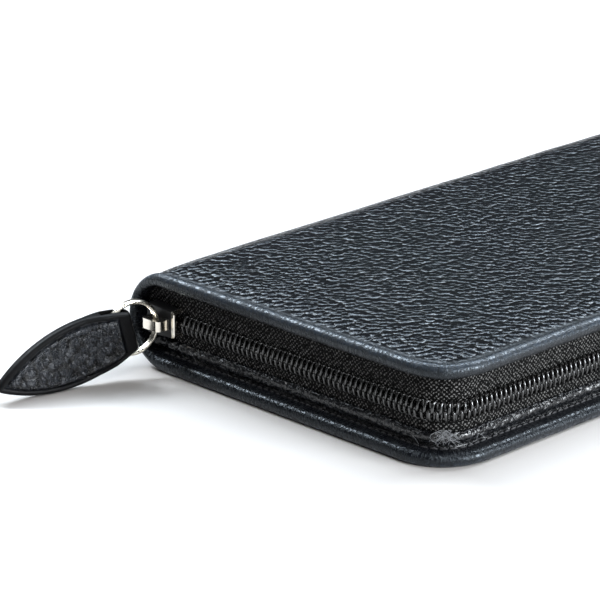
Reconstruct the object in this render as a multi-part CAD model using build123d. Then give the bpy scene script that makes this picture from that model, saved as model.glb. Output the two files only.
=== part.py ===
from build123d import *
import math
import os

# Long wallet of grained leather, zipped round three sides, with a leather leaf on a ring as its pull.
#
# Millimetres. X runs along the wallet's length, Y from the zipped front (-Y) to the spine (+Y), Z up.
# The origin is the centre of the flat outer face that the closed wallet lies on.
# The wallet is two like halves, mirrored about the plane through the zip chain, and a round spine of the
# same leather. Inside are a sewn stack of card pockets in each half, and between them a zipped coin
# pocket that is sewn to the spine and turns like a page.
# The covers swing about the line where the spine leather is outermost. The main zip is closed, with its
# slider at the spine end of the left side.

# ---------------------------------------------------------------- overall size
length = 195.0
depth = 99.0
thickness = 23.5
corner_radius = 12.0
tight_corner = 1.5          # smallest plan corner, for pieces set far in from the edge

# ---------------------------------------------------------------- cover: leather, board, foam, lining
leather = 1.2
stiffener = 1.3
hem = 0.9                   # leather pared thin where it turns over the edge of the board
hem_width = 9.0
nose_radius = 1.5           # rounding of the rolled edge
lining = 0.5
cord_gap = 0.1              # between the filler cord and what it lies beside
spine_hem = 0.6
spine_hem_width = 8.0

# ---------------------------------------------------------------- gusset strip, tape and coil of the main zip
gusset_inset = 3.6          # outer face of the gusset strip, in from the cover's edge
gusset_wall = 1.0
gusset_flange = 0.6
tape = 0.6
tape_edge = 0.95            # tape's woven edge, from the chain's middle
tape_lift = 1.4             # tape's sewn edge, above the gusset flange
coil_height = 1.6           # coil, out from the tape's face
coil_outer = 2.25           # outer side of the coil, from the chain's middle
coil_inner = 0.6            # half of the gap where the two coils' heads lock
stop_width = 1.6
fit = 0.3                   # running clearance of the sliders round tape and coil

# ---------------------------------------------------------------- sliders
slider_length = 9.0
slider_plate = 0.9
slider_tail = 3.2           # half width of the plates where the closed chain leaves
slider_head = 3.7           # half width at the other end
slider_lip = 0.65
post_half = 0.32            # wedge between the two coils
crown_half_width = 1.2
crown_window = 2.4          # height of the crown's window
crown_bar = 1.0
crown_span = 5.8
crown_leg = 0.9
slider_back = 3.2           # closed slider, from the spine's turned end

# ---------------------------------------------------------------- ring and leather pull
ring_outer = 6.7
ring_band = 1.2
ring_turn = 0.9             # axial thickness of each of its two turns
ring_slit = 0.1             # gap between the turns
ring_swing_rest = 14.0      # degrees that the ring lies towards the spine
pull_length = 35.6
pull_root = 4.5             # half width at the ring
pull_belly = 7.2            # half width at its widest
pull_belly_at = 18.0        # widest point, from the fold
pull_leather = 1.1
pull_core = 0.5             # stiffener between the two leaves
pull_core_inset = 2.6
pull_loop_gap = 0.2         # ring's play in the folded loop
pull_tip_radius = 1.4
floor_gap = 0.15            # under the leather pull, which stands on its edge beside the wallet

# ---------------------------------------------------------------- card pockets
panel = 0.5
panel_inset = 5.6
panel_front = 11.5          # pocket mouths: base panel's front edge, in from the cover's edge
card_pockets = 4
card_leather = 0.45
card_inset = 7.0
card_step = 9.0
card_back = 2.5             # pockets' sewn ends, from the spine line

# ---------------------------------------------------------------- coin pocket
coin_length = 168.0
coin_mouth = 31.5           # mouth of the pocket, in from the front edge
coin_back = 2.0             # back of its panels, from the spine line
coin_panel = 0.7
coin_gap = 0.45             # between the coin pocket and the card pockets
coin_tongue = 0.8
coin_tongue_hold = 4.0      # length of tongue between the panels
coin_chain = 152.0
coin_slider_in = 6.0        # slider's middle, from the end of the chain
coin_pull_length = 14.5
coin_pull_half = 2.35
coin_rail = 0.8
coin_window = 4.6
coin_pull_thick = 0.9
coin_pin = 0.5

# ---------------------------------------------------------------- places worked out from the sizes
mid = thickness / 2
spine_line = depth / 2 - mid                    # flat covers end here and the round spine begins
hem_top = leather + stiffener + hem
flange_top = hem_top + gusset_flange
tape_inset = gusset_inset + gusset_wall         # outer face of the tape, in from the cover's edge
tape_low = flange_top + tape_lift
spine_room = mid - leather - spine_hem - fit    # radius left inside the spine's turned ends
card_top = flange_top + panel + card_pockets * card_leather
channel_outer = coil_height + 2 * fit           # sliders' outer plate, from the tape's face
channel_inner = tape + 2 * fit
plate_top = channel_outer + slider_plate
pivot_height = plate_top + crown_window / 2     # middle of the crown's window, from the tape's face
slider_y = depth / 2 - leather - spine_hem - slider_back - slider_length / 2
slider_x = -(length / 2 - tape_inset)
chain_left = slider_y - slider_length / 2 - 0.7  # coil's end, clear of the slider as a half swings away
chain_right = slider_y - 1.5
ring_radius = ring_outer - ring_band / 2
ring_width = 2 * ring_turn + ring_slit
coin_y = -depth / 2 + coin_mouth
coin_half = mid - card_top - coin_gap           # outer half thickness of the coin pocket's mouth


def half_plan(inset, rear, front=0.0):
    """Plan of a half: rounded front corners, set in by inset, back to y = rear, front edge further in by front."""
    x = length / 2 - inset
    y = -depth / 2 + inset + front
    outline = make_face(Polyline((-x, rear), (-x, y), (x, y), (x, rear), close=True))
    corners = outline.vertices().group_by(Axis.Y)[0]
    return fillet(corners, max(corner_radius - inset, tight_corner))


def slab(plan, low, high):
    """A flat layer with this plan between two heights."""
    return extrude(Pos(0, 0, low) * plan, high - low)


def layer(inset, low, high, rear=spine_line, front=0.0):
    return slab(half_plan(inset, rear, front), low, high)


def wall(outer, inner, low, high, rear):
    """A strip that follows the three zipped sides, between two insets and two heights."""
    return slab(half_plan(outer, rear) - half_plan(inner, rear + 1), low, high)


def block(x0, x1, y0, y1, z0, z1):
    return Pos((x0 + x1) / 2, (y0 + y1) / 2, (z0 + z1) / 2) * Box(x1 - x0, y1 - y0, z1 - z0)


def inside_spine(shape, radius=spine_room):
    """Trims a shape to the room inside the round spine."""
    flat = block(-length, length, -depth, spine_line, -thickness, 2 * thickness)
    round_part = extrude(Plane.YZ * Pos(spine_line, mid) * Circle(radius), length, both=True)
    return shape & (flat + round_part)


def upper(shape):
    """The like piece of the upper half."""
    return mirror(shape, about=Plane.XY.offset(mid))


# ---------------------------------------------------------------- covers
def cover_leather():
    """Leather face with its edge rolled over board and cord on the three zipped sides."""
    skin = layer(0, 0, hem_top)
    outer_edges = [e for e in skin.edges().group_by(Axis.Z)[0] + skin.edges().group_by(Axis.Z)[-1]
                   if e.center().Y < spine_line - 0.01]
    skin = fillet(outer_edges, min(nose_radius, 0.45 * hem_top))
    skin -= layer(leather, leather, leather + stiffener, rear=spine_line + 1)
    return skin - layer(hem_width, leather + stiffener, hem_top + 1, rear=spine_line + 1)


def edge_cord():
    """Filler cord that makes the rolled edge stand up as a bead."""
    radius = stiffener / 2 - cord_gap / 2
    inset = leather + cord_gap + radius
    x = length / 2 - inset
    y = -depth / 2 + inset
    path = FilletPolyline((-x, spine_line), (-x, y), (x, y), (x, spine_line), radius=corner_radius - inset)
    start = Plane(origin=path @ 0, z_dir=path % 0)
    return Pos(0, 0, leather + stiffener / 2) * sweep(start * Circle(radius), path=path)


def cover_board():
    return layer(leather + stiffener + 2 * cord_gap, leather, leather + stiffener)


def cover_foam():
    return layer(hem_width, leather + stiffener, hem_top)


def cover_lining():
    return layer(hem_width + 2 * cord_gap, hem_top, hem_top + lining)


def spine_shell(outer, inner, half_length):
    """Half a tube along X about the spine's centre line."""
    ring = Circle(outer) - Circle(inner)
    half = ring & (Pos(outer / 2, 0) * Rectangle(outer, 2 * outer))
    return extrude(Plane.YZ * Pos(spine_line, mid) * half, half_length, both=True)


def spine_leather():
    """Round spine, which is one piece of leather with both covers, with its two ends turned in."""
    shell = spine_shell(mid, mid - leather, length / 2)
    ends = spine_shell(mid - leather, mid - leather - spine_hem, length / 2)
    return shell + (ends - spine_shell(mid, mid / 2, length / 2 - spine_hem_width))


def spine_lining():
    return spine_shell(mid - leather, mid - leather - lining, length / 2 - spine_hem_width - cord_gap)


# ---------------------------------------------------------------- main zip
def gusset_strip():
    """Leather strip that carries the tape: a wall round three sides with a flange glued to the hem."""
    rear = depth / 2
    top = mid - slider_head - 2 * fit
    strip = wall(gusset_inset, tape_inset, hem_top, top, rear)
    strip += wall(tape_inset, hem_width, hem_top, flange_top, rear)
    return inside_spine(strip)


def zip_tape():
    strip = wall(tape_inset, tape_inset + tape, tape_low, mid - tape_edge, depth / 2)
    return inside_spine(strip, spine_room - fit)


def zip_tape_lower():
    """Lower tape, pierced by the bottom stop."""
    return zip_tape() - bottom_stop_bridge(cord_gap)


def zip_coil():
    """Space that the coil of one side fills, without the heads that lock into the other side."""
    coil = wall(tape_inset - coil_height, tape_inset, mid - coil_outer, mid - coil_inner, depth / 2)
    coil -= block(-length, 0, chain_left, depth, 0, thickness)
    return coil - block(0, length, chain_right, depth, 0, thickness)


def top_stop():
    """Clip crimped over the tape's edge beyond the closed slider."""
    x = slider_x
    y = slider_y + slider_length / 2 + fit
    clip = block(x - 0.6, x + tape + 0.6, y, y + 0.7, mid - coil_outer, mid - tape_edge + 0.5)
    return clip - block(x - cord_gap, x + tape + cord_gap, y - 1, y + 2, 0, mid - tape_edge + cord_gap)


def bottom_stop_bridge(grow=0.0):
    x = -slider_x
    y = chain_right + 2 * fit
    low = mid - coil_outer - 1.2
    return block(x - tape - 0.8, x + coil_height + 0.8, y - grow, y + stop_width + grow, low - grow,
                 low + 0.8 + grow)


def bottom_stop():
    """Staple over the chain's other end: two side plates joined through the lower tape."""
    x = -slider_x
    y = chain_right + 2 * fit
    low = mid - coil_outer - 1.2
    top = mid + coil_outer + 0.2
    outer = block(x + coil_height + 0.2, x + coil_height + 0.8, y, y + stop_width, low, top)
    inner = block(x - tape - 0.8, x - tape - 0.2, y, y + stop_width, low, top)
    return outer + inner + bottom_stop_bridge()


def slider():
    """Slider in its own frame: +X to its head, chain across Y, tape's face at Z = 0 and its crown up."""
    half = slider_length / 2
    neck = slider_tail - slider_lip

    def plate(low, high, inset=0.0):
        outline = make_face(Polyline(
            (-half, -slider_tail + inset), (half, -slider_head + inset),
            (half, slider_head - inset), (-half, slider_tail - inset), close=True))
        return extrude(Pos(0, 0, low) * outline, high - low)

    top = plate(channel_outer, plate_top)
    top = fillet(top.edges().filter_by(Axis.Z), 0.9)
    top = chamfer(top.edges().group_by(Axis.Z)[-1], 0.2)
    base = plate(-channel_inner - slider_plate, -channel_inner)
    base = fillet(base.edges().filter_by(Axis.Z), 0.9)
    lips = plate(fit, channel_outer) - plate(0, plate_top, slider_lip)
    lips -= block(-slider_length, slider_length, -neck, neck, 0, plate_top)
    lips = lips & extrude(Pos(0, 0, -1) * fillet(
        make_face(Polyline((-half, -slider_tail), (half, -slider_head), (half, slider_head),
                           (-half, slider_tail), close=True)).vertices(), 0.9), 2 * plate_top)
    post = block(half - 3.2, half - 0.4, -post_half, post_half, -channel_inner, channel_outer)
    return top + base + lips + post + crown()


def crown():
    """Bridge on the slider's outer plate that the ring passes under."""
    rise = crown_window + crown_bar
    arch = block(-crown_span / 2, crown_span / 2, -crown_half_width, crown_half_width,
                 plate_top, plate_top + rise)
    arch = fillet(arch.edges().filter_by(Axis.Y).group_by(Axis.Z)[-1], 1.3)
    window = block(-crown_span / 2 + crown_leg, crown_span / 2 - crown_leg, -9, 9,
                   plate_top, plate_top + crown_window)
    window = fillet(window.edges().filter_by(Axis.Y).group_by(Axis.Z)[-1], 0.6)
    return arch - window


main_chain = Plane(origin=(slider_x, slider_y, mid), x_dir=(0, 1, 0), z_dir=(-1, 0, 0))


# ---------------------------------------------------------------- ring and leather pull
swing = math.radians(ring_swing_rest)
pull_plane = Plane(origin=(slider_x - pivot_height, slider_y, mid),
                   x_dir=(-math.cos(swing), math.sin(swing), 0),
                   z_dir=(math.sin(swing), math.cos(swing), 0))
fold = ring_radius + 0.1                        # inner end of the folded loop, from the crown's window
pull_tip = fold + pull_length


def pull_side():
    """Lower side of the leaf, one arc from the fold to the tip, from the ring's centre."""
    back = fold - ring_radius
    return ThreePointArc((back, -pull_root), (back + pull_belly_at, -pull_belly), (back + pull_length, 0))


def pull_droop():
    """Angle by which the leaf hangs below level, so that the lowest point of its side just clears the floor."""
    side = pull_side()
    centre = side.arc_center
    reach = math.hypot(centre.X, centre.Y)
    drop = (mid - floor_gap - side.radius) / reach
    return math.degrees(math.asin(drop) + math.atan2(centre.Y, centre.X))


def split_ring():
    """Split ring: two flat turns joined by a short crossover, each with its own slit."""
    def turn(low):
        band = extrude(Pos(0, 0, low) * (Circle(ring_outer) - Circle(ring_outer - ring_band)), ring_turn)
        return chamfer(band.edges(), 0.12)

    first = -ring_width / 2
    second = ring_width / 2 - ring_turn
    cross = Rot(0, 0, 150) * block(0, ring_outer - 0.2, -1.0, 1.0, first + 0.15, second + ring_turn - 0.15)
    cross = cross - extrude(Circle(ring_outer - ring_band + 0.2), 9, both=True)
    slit = Rot(0, 0, 135) * block(0, 9, -0.3, 0.3, -9, -ring_slit / 2)
    other = Rot(0, 0, 165) * block(0, 9, -0.3, 0.3, ring_slit / 2, 9)
    return Pos(ring_radius, 0) * (turn(first) + turn(second) + cross - slit - other)


def leaf(inset, start):
    """Leaf outline about the ring's centre, set in by inset, from start to the tip."""
    side = pull_side()
    disc = Circle(side.radius - inset)
    face = Pos(side.arc_center.X, side.arc_center.Y) * disc & Pos(side.arc_center.X, -side.arc_center.Y) * disc
    face = fillet(face.vertices().sort_by(Axis.X)[-1], pull_tip_radius)
    return face & (Pos(start + pull_length, 0) * Rectangle(2 * pull_length, 4 * pull_belly))


def pull_profile(grow=0.0):
    """The pull from its edge: a folded loop round the ring, narrowing to two flat leaves."""
    loop = ring_width / 2 + pull_loop_gap + pull_leather + grow
    flat = pull_leather + pull_core / 2 + grow
    back = fold - ring_radius
    reach = ring_outer + 2 * pull_loop_gap
    side = Polyline((back, -loop + 0.8), (back + 0.8, -loop), (reach, -loop), (reach + 4, -flat),
                    (pull_length + 5, -flat), (pull_length + 5, flat), (reach + 4, flat), (reach, loop),
                    (back + 0.8, loop), (back, loop - 0.8), close=True)
    return extrude(Plane.XZ * make_face(side), 3 * pull_belly, both=True)


def pull_core_shape(grow=0.0):
    start = ring_outer + 3 * pull_loop_gap + pull_leather
    return extrude(leaf(pull_core_inset, start), pull_core / 2 + grow, both=True)


def pull_leather_shape():
    """One strip of leather folded round the ring and glued to itself over the core."""
    body = extrude(leaf(0, -pull_length), 6, both=True) & pull_profile()
    start = fold - ring_radius + pull_leather
    end = ring_outer + pull_loop_gap
    half = ring_width / 2 + pull_loop_gap
    return body - block(start, end, -3 * pull_belly, 3 * pull_belly, -half, half) - pull_core_shape()


pull_centre = pull_plane * Pos(ring_radius, 0) * Rot(0, 0, -pull_droop())


# ---------------------------------------------------------------- card pockets
def bill_panel():
    """Panel that the card pockets are sewn to, with the long note pocket behind it."""
    return layer(panel_inset, flange_top, flange_top + panel, rear=spine_line - 2 * fit,
                 front=panel_front - panel_inset)


def card_pocket(number):
    """One pocket layer across the half. Each mouth is set a step further back than the one below it."""
    low = flange_top + panel + number * card_leather
    front = panel_front + card_step * (number + 0.6) - card_inset
    return layer(card_inset, low, low + card_leather, rear=spine_line - card_back, front=front)


# ---------------------------------------------------------------- coin pocket
def coin_wedge(outer, half_length):
    """Tapered solid from the pocket's mouth to its back, outer half thick at the mouth."""
    thin = coin_tongue / 2 + (outer - coin_half + coin_panel)
    rear = spine_line - coin_back
    side = Polyline((coin_y, mid - outer), (rear, mid - thin), (rear, mid + thin), (coin_y, mid + outer),
                    close=True)
    return extrude(Plane.YZ * make_face(side), half_length, both=True)


def coin_panel_lower():
    walls = coin_wedge(coin_half, coin_length / 2) - coin_wedge(coin_half - coin_panel, coin_length)
    return walls & block(-length, length, -depth, depth, 0, mid)


def coin_ends():
    inner = coin_wedge(coin_half - coin_panel, coin_length / 2)
    return inner - coin_wedge(coin_half, coin_length / 2 - coin_panel)


def coin_tongue_strip():
    """Strip that joins the pocket's back to the spine."""
    half = coin_tongue / 2
    rear = spine_line - coin_back
    return block(-coin_length / 2 + coin_panel, coin_length / 2 - coin_panel, rear - coin_tongue_hold,
                 depth / 2 - leather - lining - fit, mid - half, mid + half)


def coin_tape():
    return block(-coin_length / 2, coin_length / 2, coin_y - tape, coin_y, mid - coin_half, mid - tape_edge)


def coin_coil():
    return block(-coin_chain / 2, coin_chain / 2, coin_y - tape - coil_height, coin_y - tape,
                 mid - coil_outer, mid - coil_inner)


def coin_stops():
    """Moulded stops at both ends of the coin pocket's chain."""
    low = block(0, stop_width, coin_y - tape - coil_height, coin_y - tape, mid - coil_outer, mid + coil_outer)
    return Pos(coin_chain / 2, 0) * low, Pos(-coin_chain / 2 - stop_width, 0) * low


coin_slider_x = -coin_chain / 2 + coin_slider_in
coin_chain_plane = Plane(origin=(coin_slider_x, coin_y - tape, mid), x_dir=(-1, 0, 0), z_dir=(0, -1, 0))


def coin_pull():
    """Metal pull: a pin under the crown, two rails round it and a flat tab, lying over the closed chain."""
    pin = Pos(0, 0, pivot_height) * Rot(90, 0, 0) * Cylinder(coin_pin, 2 * coin_pull_half)
    low = pivot_height - coin_pull_thick / 2
    tab = make_face(Polyline((-coin_pull_length, -coin_pull_half), (0, -coin_pull_half), (0, coin_pull_half),
                             (-coin_pull_length, coin_pull_half), close=True))
    tab = fillet(tab.vertices().group_by(Axis.X)[0], coin_pull_half * 0.8)
    tab = extrude(Pos(0, 0, low) * tab, coin_pull_thick)
    rail = coin_pull_half - coin_rail
    return tab - block(-coin_window, 5, -rail, rail, 0, 20) + pin


# ---------------------------------------------------------------- write every node
def paired(make):
    """A piece of the lower half and its like in the upper half."""
    lower_piece = make()
    return lower_piece, upper(lower_piece)


def main():
    nodes = {}
    both = {
        "cover_leather": cover_leather, "cover_board": cover_board, "edge_cord": edge_cord,
        "foam_pad": cover_foam, "cover_lining": cover_lining, "gusset_strip": gusset_strip,
        "zip_coil": zip_coil, "top_stop": top_stop, "bill_panel": bill_panel,
        "coin_panel": coin_panel_lower, "coin_tape": coin_tape, "coin_coil": coin_coil,
    }
    for name, make in both.items():
        nodes[name + "_lower"], nodes[name + "_upper"] = paired(make)
    for number in range(card_pockets):
        label = f"card_pocket_{number + 1}"
        nodes[label + "_lower"], nodes[label + "_upper"] = paired(lambda: card_pocket(number))
    nodes["zip_tape_lower"] = zip_tape_lower()
    nodes["zip_tape_upper"] = upper(zip_tape())
    nodes["bottom_stop"] = bottom_stop()
    nodes["spine_leather"] = spine_leather()
    nodes["spine_lining"] = spine_lining()
    nodes["coin_pocket_ends"] = coin_ends()
    nodes["coin_tongue"] = coin_tongue_strip()
    nodes["coin_zip_stops"] = Compound(children=[s.solid() for s in coin_stops()])
    nodes["zip_slider"] = main_chain * slider()
    nodes["coin_slider"] = coin_chain_plane * slider()
    nodes["coin_pull"] = coin_chain_plane * coin_pull()
    nodes["pull_ring"] = pull_plane * split_ring()
    nodes["pull_leather"] = pull_centre * pull_leather_shape()
    nodes["pull_core"] = pull_centre * pull_core_shape()

    os.makedirs("parts", exist_ok=True)
    for name, shape in nodes.items():
        export_step(shape, f"parts/{name}.step")
    print("nodes", len(nodes))
    print("crown window", tuple(pull_plane.origin), "ring centre", tuple(pull_centre.position))
    print("pull droop", round(pull_droop(), 3), "slider y", slider_y, "coin slider x", coin_slider_x)
    print("coin pivot", coin_slider_x, coin_y - tape - pivot_height, mid, "coin half", coin_half)


main()
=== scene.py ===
import math
import random

import bmesh
import bpy
import numpy as np
from mathutils import Matrix, Vector


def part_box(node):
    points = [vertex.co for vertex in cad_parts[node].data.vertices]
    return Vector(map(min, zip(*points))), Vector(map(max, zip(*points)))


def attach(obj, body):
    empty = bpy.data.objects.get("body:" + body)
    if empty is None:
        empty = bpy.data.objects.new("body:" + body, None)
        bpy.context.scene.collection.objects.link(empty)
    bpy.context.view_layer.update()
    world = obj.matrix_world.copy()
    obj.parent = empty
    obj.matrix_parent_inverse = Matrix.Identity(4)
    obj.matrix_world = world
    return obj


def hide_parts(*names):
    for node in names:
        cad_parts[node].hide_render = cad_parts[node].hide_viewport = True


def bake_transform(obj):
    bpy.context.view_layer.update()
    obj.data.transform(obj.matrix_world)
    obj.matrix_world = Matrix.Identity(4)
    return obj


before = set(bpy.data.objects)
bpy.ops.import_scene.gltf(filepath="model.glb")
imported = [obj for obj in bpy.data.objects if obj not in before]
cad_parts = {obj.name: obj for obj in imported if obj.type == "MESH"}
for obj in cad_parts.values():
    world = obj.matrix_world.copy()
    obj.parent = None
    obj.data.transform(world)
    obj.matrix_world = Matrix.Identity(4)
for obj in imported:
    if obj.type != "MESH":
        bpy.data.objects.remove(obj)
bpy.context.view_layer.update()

mm = 0.001

# ---------------------------------------------------------------- studio
# A pale table top before a white backdrop that gives almost no light, a camera with a long lens, and soft
# lamps: a long strip high behind that every pebble picks up, two for the rolled edges, and two in front.
bpy.ops.mesh.primitive_plane_add(size=3.0, location=(0, 0, 0))
table_top = bpy.context.object
table_top.name = "table_top"
pale = bpy.data.materials.new("pale_table")
pale.use_nodes = True
pale.node_tree.nodes["Principled BSDF"].inputs["Base Color"].default_value = (0.62, 0.59, 0.565, 1)
pale.node_tree.nodes["Principled BSDF"].inputs["Roughness"].default_value = 0.6
table_top.data.materials.append(pale)

camera_turn = math.radians(-46.46)
camera_rise = math.radians(20.0)
camera_distance = 0.763
looking_back = Vector((math.sin(camera_turn) * math.cos(camera_rise),
                       -math.cos(camera_turn) * math.cos(camera_rise), math.sin(camera_rise)))
to_the_right = Vector((math.cos(camera_turn), math.sin(camera_turn), 0))
picture_up = looking_back.cross(to_the_right)
near_end = Vector((-0.060, -0.002, 0.012))
camera_place = near_end + looking_back * camera_distance
aim = near_end - to_the_right * 0.0237 + picture_up * 0.0059
bpy.ops.object.camera_add(location=camera_place)
camera = bpy.context.object
camera.rotation_euler = (aim - camera_place).to_track_quat("-Z", "Y").to_euler()
camera.data.lens = 204.0
camera.data.clip_start = 0.01
bpy.context.scene.camera = camera


def soft_lamp(name, place, target, width, height, watts, tint):
    bpy.ops.object.light_add(type="AREA", location=place)
    lamp = bpy.context.object
    lamp.name = name
    lamp.data.shape = "RECTANGLE"
    lamp.data.size = width
    lamp.data.size_y = height
    lamp.data.energy = watts
    lamp.data.color = tint
    lamp.rotation_euler = (Vector(target) - Vector(place)).to_track_quat("-Z", "Y").to_euler()


soft_lamp("strip_lamp", (0.38, 0.42, 1.18), (-0.05, 0, 0.01), 2.2, 0.24, 31.0, (0.80, 0.90, 1.0))
soft_lamp("back_lamp", (-0.12, 0.88, 0.88), (-0.05, 0, 0.01), 0.44, 0.44, 11.5, (0.88, 0.94, 1.0))
soft_lamp("right_lamp", (0.86, -0.14, 0.84), (-0.05, 0, 0.01), 0.44, 0.44, 11.5, (0.88, 0.94, 1.0))
soft_lamp("front_lamp", (-0.62, -0.60, 0.92), (-0.05, 0, 0.01), 0.6, 0.20, 6.0, (0.96, 0.98, 1.0))
soft_lamp("low_lamp", (0.25, -1.10, 0.24), (-0.12, 0.02, 0.01), 0.6, 0.30, 22.0, (0.90, 0.95, 1.0))
sky = bpy.data.worlds.new("studio_walls")
sky.use_nodes = True
sky.node_tree.nodes["Background"].inputs["Color"].default_value = (0.95, 0.97, 1.0, 1)
rays = sky.node_tree.nodes.new("ShaderNodeLightPath")
strength = sky.node_tree.nodes.new("ShaderNodeMapRange")
strength.inputs["To Min"].default_value = 0.04       # as a light
strength.inputs["To Max"].default_value = 1.1        # as a backdrop
sky.node_tree.links.new(rays.outputs["Is Camera Ray"], strength.inputs["Value"])
sky.node_tree.links.new(strength.outputs["Result"], sky.node_tree.nodes["Background"].inputs["Strength"])
bpy.context.scene.world = sky
bpy.context.scene.view_settings.view_transform = "Standard"

# ---------------------------------------------------------------- leather of covers and spine
# One cut of pebbled leather makes both covers and the round spine between them. It is glued over the
# boards, and its pared edge is rolled over a cord into a bead and turned in on all four sides.
lower_low, lower_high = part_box("cover_leather_lower")
upper_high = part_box("cover_leather_upper")[1]
half_length = upper_high[0]
front_y = lower_low[1]
spine_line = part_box("spine_leather")[0][1]
middle = upper_high[2] / 2
spine_radius = middle
flat_run = spine_line - front_y
sheet_length = 2 * flat_run + math.pi * spine_radius
sheet_width = 2 * half_length
hem_depth = lower_high[2]
corner_lower = 13.5 * mm
corner_upper = 10.5 * mm
corner_zone = 14.0 * mm
cushion = 0.55 * mm          # rise of the padded cover inside its bead
bead = 1.62 * mm
hem_points = 6               # of the edge profile's points, those of the turned-in hem
face_points = 14             # and those from the bead's top on to the face


def edge_profile():
    """The cut from its turned-in edge, round the bead and on to the face: (inset, depth) pairs."""
    points = [(9.2, 3.42), (7.2, 3.45), (5.4, 3.45), (4.2, 3.42), (3.2, 3.42), (2.4, 3.40)]
    points = [(inset * mm, depth * mm) for inset, depth in points]
    for turn in range(0, 231, 15):
        angle = math.radians(90 + turn)
        points.append((bead + bead * math.cos(angle), hem_depth / 2 + hem_depth / 2 * math.sin(angle)))
    points += [(3.25 * mm, 0.60 * mm), (3.75 * mm, 0.52 * mm), (4.4 * mm, 0.36 * mm), (5.2 * mm, 0.24 * mm)]
    inset = 6.2
    while inset * mm < corner_zone - 0.5 * mm:
        points.append((inset * mm, 0.24 * mm * math.exp(-(inset - 5.2) / 1.4)))
        inset += 1.1
    points.append((corner_zone, 0.0))
    return points


profile = edge_profile()
reach = [0.0]
for a, b in zip(profile, profile[1:]):
    reach.append(reach[-1] + math.hypot(b[0] - a[0], b[1] - a[1]))
zone = len(profile) - 1


def stations(total):
    """Places along one direction of the cut: (index in the edge profile or None, distance or None) pairs."""
    straight = total - 2 * corner_zone
    steps = round(straight / (1.05 * mm))
    inner = [corner_zone + straight * k / steps for k in range(1, steps)]
    return ([(k, None) for k in range(zone + 1)] + [(None, p) for p in inner]
            + [(k, None) for k in range(zone, -1, -1)])


across = stations(sheet_width)
along = stations(sheet_length)
bpy.ops.object.select_all(action="DESELECT")
bpy.ops.mesh.primitive_grid_add(x_subdivisions=len(across) - 1, y_subdivisions=len(along) - 1, size=1,
                                location=(0, 0, 0))
cover_cut = bpy.context.object
cover_cut.name = "leather_cover"


def edge_place(number, total_number, place, total):
    """(profile index, is it the far edge, flat place measured from the low edge) of one station."""
    index, position = place
    far = number > total_number / 2
    if index is None:
        return zone, far, position
    flat = profile[index][0]
    return index, far, total - flat if far else flat


def cut_point(i, j):
    """Where a vertex of the cut lies: across, along, depth, way along the edge, how far the cut reaches out
    beyond its place, the nearer edge's profile index, and whether that edge is a side."""
    ia, far_a, a = edge_place(i, len(across) - 1, across[i], sheet_width)
    jb, far_b, b = edge_place(j, len(along) - 1, along[j], sheet_length)
    near = min(ia, jb)
    inset, depth = profile[near]
    out = reach[zone] - reach[near] - (corner_zone - inset)
    radius = corner_upper if far_b else corner_lower
    if ia < zone and jb < zone:
        share = (reach[max(ia, jb)] - reach[near]) / max(reach[zone] - reach[near], 1e-9)
        half_turn = math.pi / 4 * (1 - share)
        angle = half_turn if ia <= jb else math.pi / 2 - half_turn
        bend = max(radius - inset, 0.0)
        straight = corner_zone - max(radius, inset)
        lead = (corner_zone - radius) * (1 - share) + radius * half_turn
        dx = max(radius, inset) - bend * math.cos(angle)
        dy = max(radius, inset) - bend * math.sin(angle)
        if ia <= jb:
            dy += straight * share
        else:
            dx += straight * share
        a = sheet_width - dx if far_a else dx
        b = sheet_length - dy if far_b else dy
        way = lead if ia <= jb else 2 * (corner_zone - radius) + radius * math.pi / 2 - lead
    elif ia < zone:
        way = corner_zone - min(b, sheet_length - b)
    else:
        way = 2 * (corner_zone - radius) + radius * math.pi / 2 + min(a, sheet_width - a) - corner_zone
    return a, b, depth, way, out, near, ia <= jb


def folded(a, b, depth):
    """A place on the flat cut, carried round the spine: a is across, b is along from the lower front edge."""
    x = a - half_length
    if b <= flat_run:
        return x, front_y + b, depth
    turn = (b - flat_run) / spine_radius
    if turn < math.pi:
        radius = spine_radius - depth * (1 - 0.42 * math.sin(turn))
        return x, spine_line + radius * math.sin(turn), middle - radius * math.cos(turn)
    return x, spine_line - (b - flat_run - math.pi * spine_radius), 2 * middle - depth


def ripples(count, low, high):
    """Ripples of chance length, direction and phase: (radians per metre, radians, radians) each."""
    return [(random.uniform(low, high), random.uniform(0, math.tau), random.uniform(0, math.tau))
            for _ in range(count)]


def rippled(some, a, b):
    """The sum of some ripples at a place."""
    return sum(math.sin(k * (a * math.cos(d) + b * math.sin(d)) + p) for k, d, p in some)


random.seed(4)
waves = ripples(14, 90, 420)


def unevenness(a, b):
    """Slow rise and fall of hand-laid leather, about -1 to 1."""
    return rippled(waves, a, b) / 7


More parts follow.
